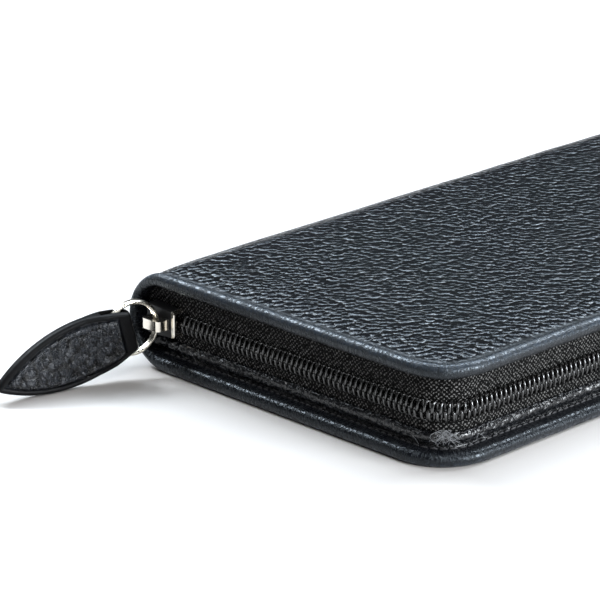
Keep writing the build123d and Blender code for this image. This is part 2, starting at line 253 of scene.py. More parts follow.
vertex_count = len(cover_cut.data.vertices)
places = np.empty((vertex_count, 3))
flat_map = np.empty((vertex_count, 2))
edge_way = np.empty((vertex_count, 3))
for n in range(vertex_count):
    j, i = divmod(n, len(across))
    a, b, depth, way, out, near, by_side = cut_point(i, j)
    from_edge = min(a, sheet_width - a, b, sheet_length - b)
    rise = cushion * (1 - math.exp(-max(from_edge - 5 * mm, 0) / (11 * mm)))
    on_face = near >= zone - face_points
    if on_face:
        upper_side = min(max((b - flat_run) / (math.pi * spine_radius), 0), 1)
        depth -= rise * upper_side * (1 - 0.25 * math.sin(upper_side * math.pi))
        depth -= 0.10 * mm * unevenness(a, b) * upper_side
    else:
        depth += 0.06 * mm * unevenness(3 * a, 3 * b)
    x, y, z = folded(a, b, depth)
    places[n] = (x, y, max(z, 0.0))
    side = (-1 if a < half_length else 1, 0) if by_side else (0, -1 if b < sheet_length / 2 else 1)
    flat_map[n] = (a + side[0] * out, b + side[1] * out)
    past_bead = min(max((profile[near][0] - 2.4 * mm) / (1.5 * mm), 0), 1)
    mark = 1.0 - past_bead if near > hem_points else 1.0
    edge_way[n] = (way, reach[near], mark)
cover_cut.data.vertices.foreach_set("co", places.ravel())


def set_uv(obj, name, values):
    """Gives every vertex its place on a flat map, in metres."""
    layer = obj.data.uv_layers.get(name) or obj.data.uv_layers.new(name=name)
    loops = np.empty(len(obj.data.loops), dtype=np.int64)
    obj.data.loops.foreach_get("vertex_index", loops)
    layer.data.foreach_set("uv", np.asarray(values, dtype=np.float32)[loops].ravel())


def set_vector(obj, name, values):
    """Stores a vector on every vertex for the material to read."""
    store = obj.data.attributes.new(name, "FLOAT_VECTOR", "POINT")
    store.data.foreach_set("vector", np.asarray(values, dtype=np.float32).ravel())


def face_outwards(obj):
    bpy.ops.object.select_all(action="DESELECT")
    obj.select_set(True)
    bpy.context.view_layer.objects.active = obj
    bpy.ops.object.mode_set(mode="EDIT")
    bpy.ops.mesh.select_all(action="SELECT")
    bpy.ops.mesh.normals_make_consistent(inside=False)
    bpy.ops.object.mode_set(mode="OBJECT")
    bpy.ops.object.shade_smooth()


set_uv(cover_cut, "UVMap", flat_map)
set_vector(cover_cut, "edge_way", edge_way)
face_outwards(cover_cut)


class Nodes:
    """Short words for building a material's nodes."""

    def __init__(self, name, base, roughness):
        self.material = bpy.data.materials.new(name)
        self.material.use_nodes = True
        self.tree = self.material.node_tree
        self.surface = self.tree.nodes["Principled BSDF"]
        self.surface.inputs["Base Color"].default_value = (*base, 1)
        self.surface.inputs["Roughness"].default_value = roughness

    def add(self, kind, **settings):
        node = self.tree.nodes.new(kind)
        for key, value in settings.items():
            setattr(node, key, value)
        return node

    def put(self, target, value):
        if isinstance(value, (int, float, tuple)):
            target.default_value = value
        else:
            self.tree.links.new(value, target)

    def place(self, source, scale, name="", turn=0.0):
        """Coordinates: the object's own, its flat map, or a stored vector, scaled."""
        if source == "object":
            out = self.add("ShaderNodeTexCoord").outputs["Object"]
        elif source == "map":
            out = self.add("ShaderNodeUVMap", uv_map=name or "UVMap").outputs["UV"]
        else:
            out = self.add("ShaderNodeAttribute", attribute_name=name).outputs["Vector"]
        mapping = self.add("ShaderNodeMapping")
        self.put(mapping.inputs["Vector"], out)
        mapping.inputs["Scale"].default_value = scale
        mapping.inputs["Rotation"].default_value = turn if isinstance(turn, tuple) else (0, 0, turn)
        return mapping.outputs["Vector"]

    def noise(self, where, scale, detail=2.0, rough=0.5, colour=False):
        node = self.add("ShaderNodeTexNoise")
        self.put(node.inputs["Vector"], where)
        node.inputs["Scale"].default_value = scale
        node.inputs["Detail"].default_value = detail
        node.inputs["Roughness"].default_value = rough
        return node.outputs["Color" if colour else "Fac"]

    def cells(self, where, scale, feature="DISTANCE_TO_EDGE", random_share=1.0, dimensions="3D"):
        node = self.add("ShaderNodeTexVoronoi", feature=feature, voronoi_dimensions=dimensions)
        self.put(node.inputs["Vector"], where)
        node.inputs["Scale"].default_value = scale
        node.inputs["Randomness"].default_value = random_share
        return node.outputs["Distance"]

    def wave(self, where, scale, bend=0.0, profile="SIN", direction="X"):
        node = self.add("ShaderNodeTexWave", wave_profile=profile, bands_direction=direction)
        self.put(node.inputs["Vector"], where)
        node.inputs["Scale"].default_value = scale
        node.inputs["Distortion"].default_value = bend
        return node.outputs["Fac"]

    def maths(self, operation, a, b=0.0, c=0.0):
        node = self.add("ShaderNodeMath", operation=operation)
        self.put(node.inputs[0], a)
        self.put(node.inputs[1], b)
        self.put(node.inputs[2], c)
        return node.outputs[0]

    def shift(self, where, push, amount):
        """Coordinates pushed about by a noise colour."""
        node = self.add("ShaderNodeVectorMath", operation="MULTIPLY_ADD")
        self.put(node.inputs[0], push)
        node.inputs[1].default_value = (amount, amount, amount)
        self.put(node.inputs[2], where)
        return node.outputs[0]

    def spread(self, value, low, high, to_low=0.0, to_high=1.0, smooth=True):
        node = self.add("ShaderNodeMapRange", interpolation_type="SMOOTHSTEP" if smooth else "LINEAR")
        self.put(node.inputs["Value"], value)
        node.inputs["From Min"].default_value = low
        node.inputs["From Max"].default_value = high
        node.inputs["To Min"].default_value = to_low
        node.inputs["To Max"].default_value = to_high
        return node.outputs["Result"]

    def mix(self, share, a, b):
        """A number or colour between a and b, of which a colour is a tuple or another node's output."""
        colour = isinstance(a, tuple) or isinstance(b, tuple)
        node = self.add("ShaderNodeMix", data_type="RGBA" if colour else "FLOAT")
        first = 6 if colour else 2
        self.put(node.inputs[0], share)
        self.put(node.inputs[first], (*a, 1) if isinstance(a, tuple) else a)
        self.put(node.inputs[first + 1], (*b, 1) if isinstance(b, tuple) else b)
        return node.outputs[2 if colour else 0]

    def relief(self, height, depth, under=None, strength=1.0):
        node = self.add("ShaderNodeBump")
        node.inputs["Strength"].default_value = strength
        node.inputs["Distance"].default_value = depth
        self.put(node.inputs["Height"], height)
        if under is not None:
            self.put(node.inputs["Normal"], under)
        return node.outputs["Normal"]

    def finish(self, colour=None, roughness=None, normal=None, **constants):
        if colour is not None:
            self.put(self.surface.inputs["Base Color"], colour)
        if roughness is not None:
            self.put(self.surface.inputs["Roughness"], roughness)
        if normal is not None:
            self.put(self.surface.inputs["Normal"], normal)
        for key, value in constants.items():
            self.surface.inputs[key.replace("_", " ")].default_value = value
        return self.material


def pebbled_leather(name, cell, depth, base, worn, edge=""):
    """Black leather with a plump pebble grain, pulled into creases, with painted shade in the valleys and
    crease lines and a painted highlight along a rolled edge.
    """
    m = Nodes(name, base, 0.4)
    flat = m.place("map", (1 / cell, 1 / cell, 1))
    pushed = m.shift(flat, m.noise(flat, 0.55, 2.0, 0.5, True), 0.75)
    centre = m.cells(pushed, 1.0, "F1", 0.9, "2D")
    pebble = m.maths("MULTIPLY_ADD", m.maths("MULTIPLY", centre, centre), -1.75, 1.0)
    fine = m.spread(m.cells(pushed, 2.7, dimensions="2D"), 0.0, 0.22)
    pores = m.noise(flat, 9.0, 3.0, 0.6)
    swell = m.noise(flat, 0.9, 1.0)
    height = m.maths("MULTIPLY_ADD", fine, 0.05, pebble)
    height = m.maths("MULTIPLY_ADD", swell, 0.35, height)
    height = m.maths("MULTIPLY_ADD", pores, 0.06, height)
    rough = m.spread(pebble, 0.2, 1.0, 0.27, 0.21)
    # Lighter worn colour on the pebble tops, while the valleys between them keep the darker base as painted
    # shade.
    share = m.spread(m.maths("MULTIPLY_ADD", pores, 0.5, m.maths("MULTIPLY", pebble, 0.6)), 0.45, 1.0)
    if edge:
        way = m.place("stored", (1, 1, 1), edge)
        parts = m.add("ShaderNodeSeparateXYZ")
        m.put(parts.inputs[0], way)
        on_edge = parts.outputs["Z"]
        line = m.place("stored", (1 / (0.62 * mm), 1 / (2.2 * mm), 0), edge)
        crease = m.noise(m.shift(line, m.noise(line, 0.45, 2.0, 0.5, True), 1.5), 0.8, 3.0, 0.6)
        crease = m.spread(m.maths("ABSOLUTE", m.maths("SUBTRACT", crease, 0.5)), 0.0, 0.075)
        creases = m.maths("MULTIPLY_ADD", pores, 0.10, m.maths("MULTIPLY", crease, 0.11))
        # Painted shade: in the groove just inside the bead the colour is held at the dark base.
        groove = m.maths("MULTIPLY", m.maths("MULTIPLY", on_edge, m.maths("SUBTRACT", 1.0, on_edge)), 4.0)
        height = m.mix(on_edge, height, creases)
        # Along the bead the lighter colour sits on the flats, and the crease lines and the groove stay dark
        # as painted shade.
        share = m.maths("MULTIPLY", m.mix(on_edge, share, crease), m.maths("SUBTRACT", 1.0, groove))
        rough = m.mix(on_edge, rough, m.spread(crease, 0.0, 1.0, 0.46, 0.24))
        rough = m.mix(groove, rough, 0.60)
        # Painted highlight: a lighter bluish band along the upper middle of the bead, where its face turns to
        # the lamps. It is broken by the creases and mixed into the worn colour.
        highlight_band = m.maths("MULTIPLY", m.spread(parts.outputs["Y"], 10.2 * mm, 11.2 * mm),
                        m.spread(parts.outputs["Y"], 12.2 * mm, 13.4 * mm, 1.0, 0.0))
        painted_highlight = m.maths("MULTIPLY", m.maths("MULTIPLY", highlight_band, on_edge), m.mix(crease, 0.25, 1.0))
        worn = m.mix(painted_highlight, worn, (0.030, 0.037, 0.047))
    return m.finish(m.mix(share, base, worn), rough, m.relief(height, depth),
                    Specular_IOR_Level=0.42, Specular_Tint=(0.82, 0.92, 1.0, 1.0))


# Second colour: wear on the pebble tops. The darker first colour in the valleys is painted shade, and the
# bead also gets a painted highlight.
cover_leather = pebbled_leather("cover_leather", 1.75 * mm, 0.42 * mm, (0.0028, 0.0030, 0.0038),
                                (0.0045, 0.0052, 0.0072), "edge_way")
cover_cut.data.materials.append(cover_leather)
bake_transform(cover_cut)
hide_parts("cover_leather_lower", "cover_leather_upper", "spine_leather")


# ---------------------------------------------------------------- way round the three zipped sides
# Tapes, coils and leather strips all follow one line: the outer face of the tape, down the left side,
# along the front and up the right side. Pieces are made straight, then laid along it.
tape_low, tape_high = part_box("zip_tape_lower")
tape_face = tape_high[0]
tape_front = -tape_low[1]
turn_radius = 7.4 * mm
side_start = tape_high[1]
side_run = side_start + tape_front - turn_radius
front_run = 2 * (tape_face - turn_radius)
quarter = turn_radius * math.pi / 2
whole_run = 2 * side_run + front_run + 2 * quarter
inside_spine = spine_radius - 2.3 * mm


def round_the_sides(s, out):
    """The place (x, y) at distance s along the line, from the left spine end, and out from it."""
    if s > whole_run / 2:
        x, y = round_the_sides(whole_run - s, out)
        return -x, y
    if s < side_run:
        return -tape_face - out, side_start - s
    if s < side_run + quarter:
        angle = (s - side_run) / turn_radius
        reach_out = turn_radius + out
        return (-tape_face + turn_radius - reach_out * math.cos(angle),
                -tape_front + turn_radius - reach_out * math.sin(angle))
    return -tape_face + turn_radius + (s - side_run - quarter), -tape_front - out


def lay_round_the_sides(obj):
    """Bends a straight piece (x along, y out, z up) round the three zipped sides."""
    data = np.empty(len(obj.data.vertices) * 3)
    obj.data.vertices.foreach_get("co", data)
    data = data.reshape(-1, 3)
    for row in data:
        row[0], row[1] = round_the_sides(row[0], row[1])
        room = math.sqrt(max(inside_spine ** 2 - (row[2] - middle) ** 2, 0))
        row[1] = min(row[1], spine_line + room)
    obj.data.vertices.foreach_set("co", data.ravel())
    obj.data.update()


def straight_strip(name, start, end, step, outline, thickness, bulge=None):
    """A band (x along, y out, z up) whose section follows outline, (out, height) points, with a thickness."""
    columns = max(round((end - start) / step), 2)
    bpy.ops.object.select_all(action="DESELECT")
    bpy.ops.mesh.primitive_grid_add(x_subdivisions=columns, y_subdivisions=len(outline) - 1, size=1)
    band = bpy.context.object
    band.name = name
    flat = []
    run = [0.0]
    for a, b in zip(outline, outline[1:]):
        run.append(run[-1] + math.hypot(b[0] - a[0], b[1] - a[1]))
    for n, vertex in enumerate(band.data.vertices):
        row, column = divmod(n, columns + 1)
        s = start + (end - start) * column / columns
        out, height = outline[row]
        if bulge:
            out, height = bulge(s, row / (len(outline) - 1), out, height)
        vertex.co = (s, out, height)
        flat.append((s, run[row]))
    set_uv(band, "UVMap", flat)
    skin = band.modifiers.new("thickness", "SOLIDIFY")
    skin.thickness = thickness
    skin.offset = 0
    bpy.ops.object.modifier_apply(modifier="thickness")
    lay_round_the_sides(band)
    face_outwards(band)
    return band


# ---------------------------------------------------------------- zip tapes
# Two bands of black polyester twill. The coils are sewn to their inner edges, and their other edges
# are sewn under the leather: the upper one runs up behind the bead, the lower one ends in the ruffle.
chain_half = 0.32 * mm
tape_thickness = 0.45 * mm
upper_tape_top = 2 * middle - hem_depth - 0.1 * mm
lower_tape_foot = 5.2 * mm


def tape_outline(inner, outer, steps=7):
    """Section of a tape from its coil edge to its sewn edge, bowed outwards a little."""
    points = []
    for k in range(steps + 1):
        share = k / steps
        bow = 0.55 * mm * math.sin(share * math.pi * 0.85) - 0.25 * mm
        points.append((bow, inner + (outer - inner) * share))
    return points


def twill(name, base, bright, thread=0.46 * mm):
    """Woven tape: a fine diagonal twill of glossy filament yarn, with a rib by the coil, and the yarn's
    glints painted in as bright colour.
    """
    m = Nodes(name, base, 0.6)
    warp = m.place("map", (1 / thread, 1 / thread, 1), turn=math.radians(45))
    uneven = m.noise(warp, 0.8, 2.0, 0.6)
    bent = m.shift(warp, m.noise(warp, 0.8, 2.0, 0.6, True), 2.0)
    ribs = m.wave(bent, 0.20)
    yarns = m.wave(bent, 0.20, direction="Y")
    cross = m.maths("MULTIPLY", ribs, yarns)
    height = m.maths("MULTIPLY_ADD", uneven, 0.7, cross)
    # Painted glints: bright colour on the raised thread crossings, where the glossy yarn would catch the
    # lamps.
    painted_gleam = m.spread(m.maths("MULTIPLY", cross, m.spread(uneven, 0.38, 0.60)), 0.14, 0.42)
    fibres = m.noise(m.place("map", (9000, 2500, 1)), 1.0, 2.0)
    return m.finish(m.mix(painted_gleam, base, bright), m.spread(fibres, 0.3, 0.7, 0.60, 0.80),
                    m.relief(height, 0.20 * mm), Specular_IOR_Level=0.07)


# The second colour is that of the painted glints.
tape_cloth = twill("tape_twill", (0.0012, 0.0012, 0.0012), (0.15, 0.147, 0.142))
for half, body in (("lower", "lower_half"), ("upper", "upper_half")):
    if half == "lower":
        outline = tape_outline(middle - chain_half, lower_tape_foot)
    else:
        outline = tape_outline(middle + chain_half, upper_tape_top)
    band = straight_strip("tape_" + half, 0.3 * mm, whole_run - 0.3 * mm, 1.0 * mm, outline, tape_thickness)
    band.data.materials.append(tape_cloth)
    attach(band, body)
    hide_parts("zip_tape_" + half)

# ---------------------------------------------------------------- nylon coils
# Each side of the zip is one stiff nylon thread wound into a flattened spiral and sewn along the tape.
# The turns of the two spirals hold each other across the middle, a little under half a turn out of step.
coil_pitch = 1.5 * mm
thread_radius = 0.28 * mm
coil_reach = 1.22 * mm       # half height of a turn
coil_centre = 0.97 * mm      # its middle, from the zip's middle
coil_back = 0.30 * mm        # its rear leg lies on the tape
coil_crown = 1.52 * mm       # its front leg follows one arch over both rows
arch_half = 2.75 * mm        # half the height of that arch
coil_start = side_start - (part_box("zip_slider")[0][1] - 0.7 * mm)
coil_end = whole_run - (side_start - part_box("zip_coil_lower")[1][1])


def coil_row(name, sign, first, start, end, lay):
    """A row of turns from start to end, laid in place by lay; sign is +1 above the middle and -1 below."""
    ring_steps = 12
    thread_sides = 6

    def turn_line(around):
        """Middle of the thread: over the arch in front, back along the tape, a pitch further on each turn."""
        height = coil_centre - coil_reach * math.cos(around)
        arch = coil_crown * math.sqrt(max(1 - (height / arch_half) ** 2, 0.05))
        front = 0.5 + 0.5 * min(max(1.9 * math.sin(around), -1), 1)
        return Vector((coil_pitch * around / math.tau + 0.14 * mm * math.sin(2 * around),
                       coil_back + (arch - coil_back) * front, sign * height))

    bpy.ops.object.select_all(action="DESELECT")
    bpy.ops.mesh.primitive_torus_add(major_segments=ring_steps, minor_segments=thread_sides, major_radius=1.0,
                                     minor_radius=0.25, location=(0, 0, 0))
    turn = bpy.context.object
    turn.name = name
    bpy.ops.object.mode_set(mode="EDIT")
    edit = bmesh.from_edit_mesh(turn.data)
    edit.verts.ensure_lookup_table()
    rings = [[edit.verts[r * thread_sides + k] for k in range(thread_sides)] for r in range(ring_steps)]
    cut = [f for f in edit.faces
           if any(v in rings[0] for v in f.verts) and any(v in rings[-1] for v in f.verts)]
    bmesh.ops.delete(edit, geom=cut, context="FACES_ONLY")
    last = [edit.verts.new(v.co) for v in rings[0]]
    for k in range(thread_sides):
        nxt = (k + 1) % thread_sides
        edit.faces.new((rings[-1][k], rings[-1][nxt], last[nxt], last[k]))
    edit.normal_update()
    for r, ring in enumerate(rings + [last]):
        around = math.tau * r / ring_steps
        head = math.cos(around)
        centre = turn_line(around)
        way = (turn_line(around + 0.05) - turn_line(around - 0.05)).normalized()
        side = way.cross(Vector((1, 0, 0))).normalized()
        up = side.cross(way)
        swell = 1.0 + 0.15 * max(head, 0) ** 3
        for k, v in enumerate(ring):
            angle = math.tau * k / thread_sides
            v.co = centre + (side * math.cos(angle) + up * math.sin(angle)) * thread_radius * swell
    bmesh.update_edit_mesh(turn.data)
    bpy.ops.object.mode_set(mode="OBJECT")
    row = turn.modifiers.new("row", "ARRAY")
    row.use_relative_offset = False
    row.use_constant_offset = True
    row.constant_offset_displace = (coil_pitch, 0, 0)
    row.count = int((end - start - first) / coil_pitch)
    row.use_merge_vertices = True
    row.merge_threshold = 0.02 * mm
    bpy.ops.object.modifier_apply(modifier="row")
    for vertex in turn.data.vertices:
        vertex.co.x += start + first
        vertex.co.z += middle
    lay(turn)
    face_outwards(turn)
    return turn


def nylon(name, base):
    m = Nodes(name, base, 0.28)
    where = m.place("object", (1000, 1000, 1000))
    streak = m.noise(where, 2.2, 3.0, 0.6)
    return m.finish(m.mix(m.spread(streak, 0.3, 0.8), base, tuple(3.0 * c for c in base)),
                    m.spread(streak, 0.3, 0.7, 0.13, 0.22), m.relief(streak, 0.006 * mm),
                    Specular_IOR_Level=1.0)


black_nylon = nylon("black_nylon", (0.006, 0.006, 0.006))
for half, sign, body in (("lower", -1, "lower_half"), ("upper", 1, "upper_half")):
    row = coil_row("coil_" + half, sign, 0.0 if half == "lower" else 0.42 * coil_pitch, coil_start, coil_end,
                   lay_round_the_sides)
    row.data.materials.append(black_nylon)
    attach(row, body)
    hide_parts("zip_coil_" + half)

# ---------------------------------------------------------------- leather ruffle and strip beside the zip
# A thin glossy leather strip joins the zip to the cover. The lower one is gathered and crumpled and
# bulges out under the tape; the upper one is hidden behind its tape.
random.seed(11)
folds = [(random.uniform(380, 2300), random.uniform(-900, 900), random.uniform(0, math.tau),
          random.uniform(0.35, 1.0)) for _ in range(26)]


def crumple(s, share, out, height):
    """Pushes the gathered strip in and out, most in its middle."""
    loose = math.sin(math.pi * min(max(share, 0), 1)) ** 0.7
    push = sum(w * math.sin(k * s + d * share * 3.2 * mm + p) for k, d, p, w in folds) / 5.0
    fine = sum(w * math.sin(2.3 * k * s - d * share * 5 * mm + 2 * p) for k, d, p, w in folds) / 9.0
    slow = 0.6 + 0.4 * math.sin(s / (27 * mm) + 1.0)
    out += (0.50 * push + 0.20 * fine) * loose * slow * mm
    return out, height + (0.30 * push - 0.16 * fine) * loose * mm


ruffle_outline = [(0.25, 6.7), (0.50, 7.1), (0.85, 7.15), (1.15, 6.9), (1.40, 6.5), (1.52, 6.0), (1.45, 5.5),
                  (1.20, 5.0), (0.85, 4.6), (0.55, 4.3), (0.35, 4.05), (0.35, 3.8), (0.60, 3.65)]
ruffle_outline = [(out * mm, height * mm) for out, height in ruffle_outline]
ruffle = straight_strip("leather_ruffle_lower", 0.5 * mm, whole_run - 0.5 * mm, 0.42 * mm, ruffle_outline,
                        0.28 * mm, crumple)


def creased_leather(name, base, worn):
    """Thin, shiny, finely creased leather."""
    m = Nodes(name, base, 0.3)
    where = m.place("map", (1000, 1000, 1))
    bent = m.shift(where, m.noise(where, 0.5, 2.0, 0.5, True), 1.6)
    creases = m.cells(bent, 0.55, dimensions="2D")
    ridges = m.spread(creases, 0.0, 0.35)
    small = m.noise(bent, 2.4, 4.0, 0.65)
    height = m.maths("MULTIPLY_ADD", small, 0.35, ridges)
    return m.finish(m.mix(m.spread(small, 0.4, 0.75), base, worn), m.spread(small, 0.3, 0.7, 0.16, 0.32),
                    m.relief(height, 0.24 * mm), Specular_IOR_Level=0.5, Coat_Weight=0.3, Coat_Roughness=0.15)


shiny_leather = creased_leather("shiny_leather", (0.0022, 0.0024, 0.003), (0.006, 0.007, 0.010))
ruffle.data.materials.append(shiny_leather)
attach(ruffle, "lower_half")
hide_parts("gusset_strip_lower")

hidden_outline = [(-0.75, 16.6), (-0.78, 17.6), (-0.70, 18.8), (-0.35, 19.6), (0.4, 19.98), (2.2, 20.02)]
hidden_outline = [(out * mm, height * mm) for out, height in hidden_outline]
hidden_strip = straight_strip("leather_strip_upper", 0.5 * mm, whole_run - 0.5 * mm, 1.2 * mm, hidden_outline,
                              0.3 * mm)
hidden_strip.data.materials.append(shiny_leather)
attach(hidden_strip, "upper_half")
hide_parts("gusset_strip_upper")

# ---------------------------------------------------------------- seam beside the ruffle
# Where the ruffle is glued down, the cut edge of the hem and a row of lockstitch thread run beside it.
def stitch_row(name, start, end, pitch, length, radius, dip=0.0):
    """A straight run of stitches along X: one plump thread stitch, repeated."""
    bpy.ops.object.select_all(action="DESELECT")
    bpy.ops.mesh.primitive_uv_sphere_add(segments=6, ring_count=6, radius=1.0, location=(0, 0, 0),
                                         rotation=(0, math.pi / 2, 0))
    stitch = bpy.context.object
    stitch.name = name
    bpy.ops.object.transform_apply(location=True, rotation=True, scale=True)
    for vertex in stitch.data.vertices:
        x, y, z = vertex.co
        vertex.co = (start + length / 2 + x * length / 2, y * radius + 0.15 * radius * x,
                     (z - 0.55 * x * x) * radius - dip)
    run = stitch.modifiers.new("run", "ARRAY")
    run.use_relative_offset = False
    run.use_constant_offset = True
    run.constant_offset_displace = (pitch, 0, 0)
    run.count = max(int((end - start) / pitch), 1)
    bpy.ops.object.modifier_apply(modifier="run")
    return stitch


def sewing_thread(name, base):
    m = Nodes(name, base, 0.5)
    where = m.place("object", (1000, 1000, 1000))
    twist = m.noise(where, 5.0, 2.0, 0.6)
    return m.finish(m.mix(twist, base, tuple(2.4 * c for c in base)), m.spread(twist, 0.3, 0.7, 0.4, 0.65),
                    m.relief(twist, 0.05 * mm), Sheen_Weight=0.3)


seam_out = 0.98 * mm         # from the tape's face
thread_lift = 0.14 * mm      # of the stitches, above the hem
black_thread = sewing_thread("black_thread", (0.018, 0.018, 0.020))
seam = stitch_row("seam_thread_lower", 6 * mm, whole_run - 6 * mm, 1.9 * mm, 1.55 * mm, 0.17 * mm)
for vertex in seam.data.vertices:
    vertex.co.y += seam_out
    vertex.co.z += hem_depth + thread_lift
lay_round_the_sides(seam)
face_outwards(seam)
seam.data.materials.append(black_thread)
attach(seam, "lower_half")

hem_lip_outline = [(0.05, 3.45), (0.25, 3.66), (0.48, 3.62), (0.60, 3.42)]
hem_lip_outline = [(out * mm, height * mm) for out, height in hem_lip_outline]


def ragged(s, share, out, height):
    lift = math.sin(math.pi * share) * (0.10 * math.sin(900 * s) + 0.08 * math.sin(2100 * s + 1) + 0.05)
    return out + 0.05 * mm * math.sin(1500 * s), height + lift * mm


hem_lip = straight_strip("hem_lip_lower", 2 * mm, whole_run - 2 * mm, 0.6 * mm, hem_lip_outline, 0.16 * mm,
                         ragged)
hem_lip.data.materials.append(shiny_leather)
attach(hem_lip, "lower_half")

# ---------------------------------------------------------------- slider of the main zip
# Die-cast and nickel plated: two plates joined by a wedge, with a hollow crown that carries the ring.
def plated(name, base, roughness):
    """Nickel or pale gold plating with faint haze and fine scratches."""
    m = Nodes(name, base, roughness)
    where = m.place("object", (1000, 1000, 1000))
    haze = m.noise(where, 0.5, 3.0, 0.6)
    lines = m.noise(m.place("object", (900, 5200, 1400)), 1.0, 2.0)
    both = m.maths("MULTIPLY_ADD", lines, 0.5, haze)
    worn = tuple(0.80 * c for c in base)
    return m.finish(m.mix(m.spread(haze, 0.4, 0.7), base, worn),
                    m.spread(both, 0.4, 1.1, 0.85 * roughness, 1.35 * roughness),
                    m.relief(both, 0.0012 * mm), Metallic=1.0)


def repaint(node, material, bevel=0.0):
    """Gives a CAD node its finish, and rounds its edges a little."""
    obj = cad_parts[node]
    obj.data.materials.clear()
    obj.data.materials.append(material)
    for slot in obj.material_slots:
        slot.link = "DATA"
        slot.material = material
    if bevel:
        rounding = obj.modifiers.new("rounding", "BEVEL")
        rounding.width = bevel
        rounding.segments = 2
        rounding.limit_method = "ANGLE"
        rounding.angle_limit = math.radians(35)
        rounding.harden_normals = False


nickel = plated("nickel", (0.80, 0.76, 0.69), 0.22)
for node in ("coin_slider", "coin_pull"):
    repaint(node, nickel, 0.09 * mm)


def part_lacquered(name, base, bare_beyond, bare_before):
    """Black lacquer on the slider's body, with the plating bare on its crown and on the plates' worn ends."""
    m = Nodes(name, base, 0.3)
    parts = m.add("ShaderNodeSeparateXYZ")
    m.put(parts.inputs[0], m.place("object", (1, 1, 1)))
    wear = m.maths("MULTIPLY", m.noise(m.place("object", (1000, 1000, 1000)), 1.6, 3.0, 0.6), 0.5 * mm)
    crown = m.spread(m.maths("ADD", parts.outputs["X"], wear), bare_beyond, bare_beyond + 0.15 * mm, 1.0, 0.0)
    tail = m.spread(m.maths("ADD", parts.outputs["Y"], wear), bare_before, bare_before + 0.15 * mm, 1.0, 0.0)
    bare = m.maths("MAXIMUM", crown, tail)
    scratch = m.noise(m.place("object", (900, 5200, 1400)), 1.0, 2.0)
    m.put(m.surface.inputs["Metallic"], bare)
    return m.finish(m.mix(bare, (0.012, 0.012, 0.013), base),
                    m.maths("MULTIPLY_ADD", scratch, 0.10, m.mix(bare, 0.36, 0.14)),
                    m.relief(scratch, 0.002 * mm), Specular_IOR_Level=0.25)


crown_reach = 3.3 * mm       # of the slider's depth, the part that is bare crown
worn_end = 1.0 * mm          # of its length, the end where the lacquer is gone
slider_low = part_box("zip_slider")[0]
slider_lacquer = part_lacquered("slider_lacquer", (0.82, 0.77, 0.68), slider_low[0] + crown_reach,
                                slider_low[1] + worn_end)
repaint("zip_slider", slider_lacquer, 0.09 * mm)
for node in ("top_stop_lower", "top_stop_upper", "bottom_stop"):
    repaint(node, nickel, 0.04 * mm)

# ---------------------------------------------------------------- ring
# A small split ring of two flat turns of plated spring wire, threaded through the crown.
ring_low, ring_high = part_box("pull_ring")
ring_centre = (Vector(ring_low) + Vector(ring_high)) / 2
ring_outer = (ring_high[2] - ring_low[2]) / 2
wire_width = 1.2 * mm
wire_depth = 1.9 * mm
ring_swing = math.radians(14.0)
outwards = Vector((-math.cos(ring_swing), math.sin(ring_swing), 0))
ring_axis = Vector((math.sin(ring_swing), math.cos(ring_swing), 0))
ring_frame = Matrix((outwards, Vector((0, 0, 1)), ring_axis)).transposed()
middle_radius = ring_outer - wire_width / 2
bpy.ops.object.select_all(action="DESELECT")
bpy.ops.mesh.primitive_torus_add(major_segments=96, minor_segments=20, major_radius=middle_radius,
                                 minor_radius=wire_width / 2, location=(0, 0, 0))
ring = bpy.context.object
ring.name = "split_ring"
for vertex in ring.data.vertices:
    x, y, z = vertex.co
    radius = math.hypot(x, y)
    off = (radius - middle_radius) / (wire_width / 2)
    high = z / (wire_width / 2)
    square = max(abs(off), abs(high)) / max(math.hypot(off, high), 1e-9)
    round_share = 0.55 + 0.45 * square
    off, high = off / round_share * 0.88, high / round_share * 0.88
    groove = 0.22 * max(0.0, 1 - abs(high) / 0.16)
    off *= 1 - groove if abs(off) > 0.4 else 1
    new_radius = middle_radius + off * wire_width / 2
    vertex.co = (ring_frame @ Vector((x / radius * new_radius, y / radius * new_radius,
                                      high * wire_depth / 2))) + ring_centre
face_outwards(ring)
pale_gold = plated("pale_gold", (0.93, 0.87, 0.75), 0.24)
ring.data.materials.append(pale_gold)
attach(ring, "ring")
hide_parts("pull_ring")

# ---------------------------------------------------------------- leather leaf
# The pull is one strip of the cover's leather folded round the ring and glued flesh to flesh over a thin
# core. Its rim is pressed flat and painted black, so that the pebbled middle stands up like a cushion.
leaf_start = 0.1 * mm
leaf_length = 35.6 * mm
leaf_root = 4.5 * mm
leaf_belly = 7.2 * mm
leaf_belly_at = 18.0 * mm
leaf_floor = 0.15 * mm
leaf_rim = 1.35 * mm         # width of the flat, painted rim
middle_start = 3.6 * mm      # the raised middle's straight end, from the ring's centre
press_inset = 3.3 * mm       # line pressed into the middle, in from the curved sides
press_start = 6.2 * mm       # and its straight end, from the ring's centre


def circle_through(a, b, c):
    """Centre and radius of the circle through three points."""
    d = 2 * (a[0] * (b[1] - c[1]) + b[0] * (c[1] - a[1]) + c[0] * (a[1] - b[1]))
    squares = [p[0] ** 2 + p[1] ** 2 for p in (a, b, c)]
    x = (squares[0] * (b[1] - c[1]) + squares[1] * (c[1] - a[1]) + squares[2] * (a[1] - b[1])) / d
    y = (squares[0] * (c[0] - b[0]) + squares[1] * (a[0] - c[0]) + squares[2] * (b[0] - a[0])) / d
    return x, y, math.hypot(a[0] - x, a[1] - y)


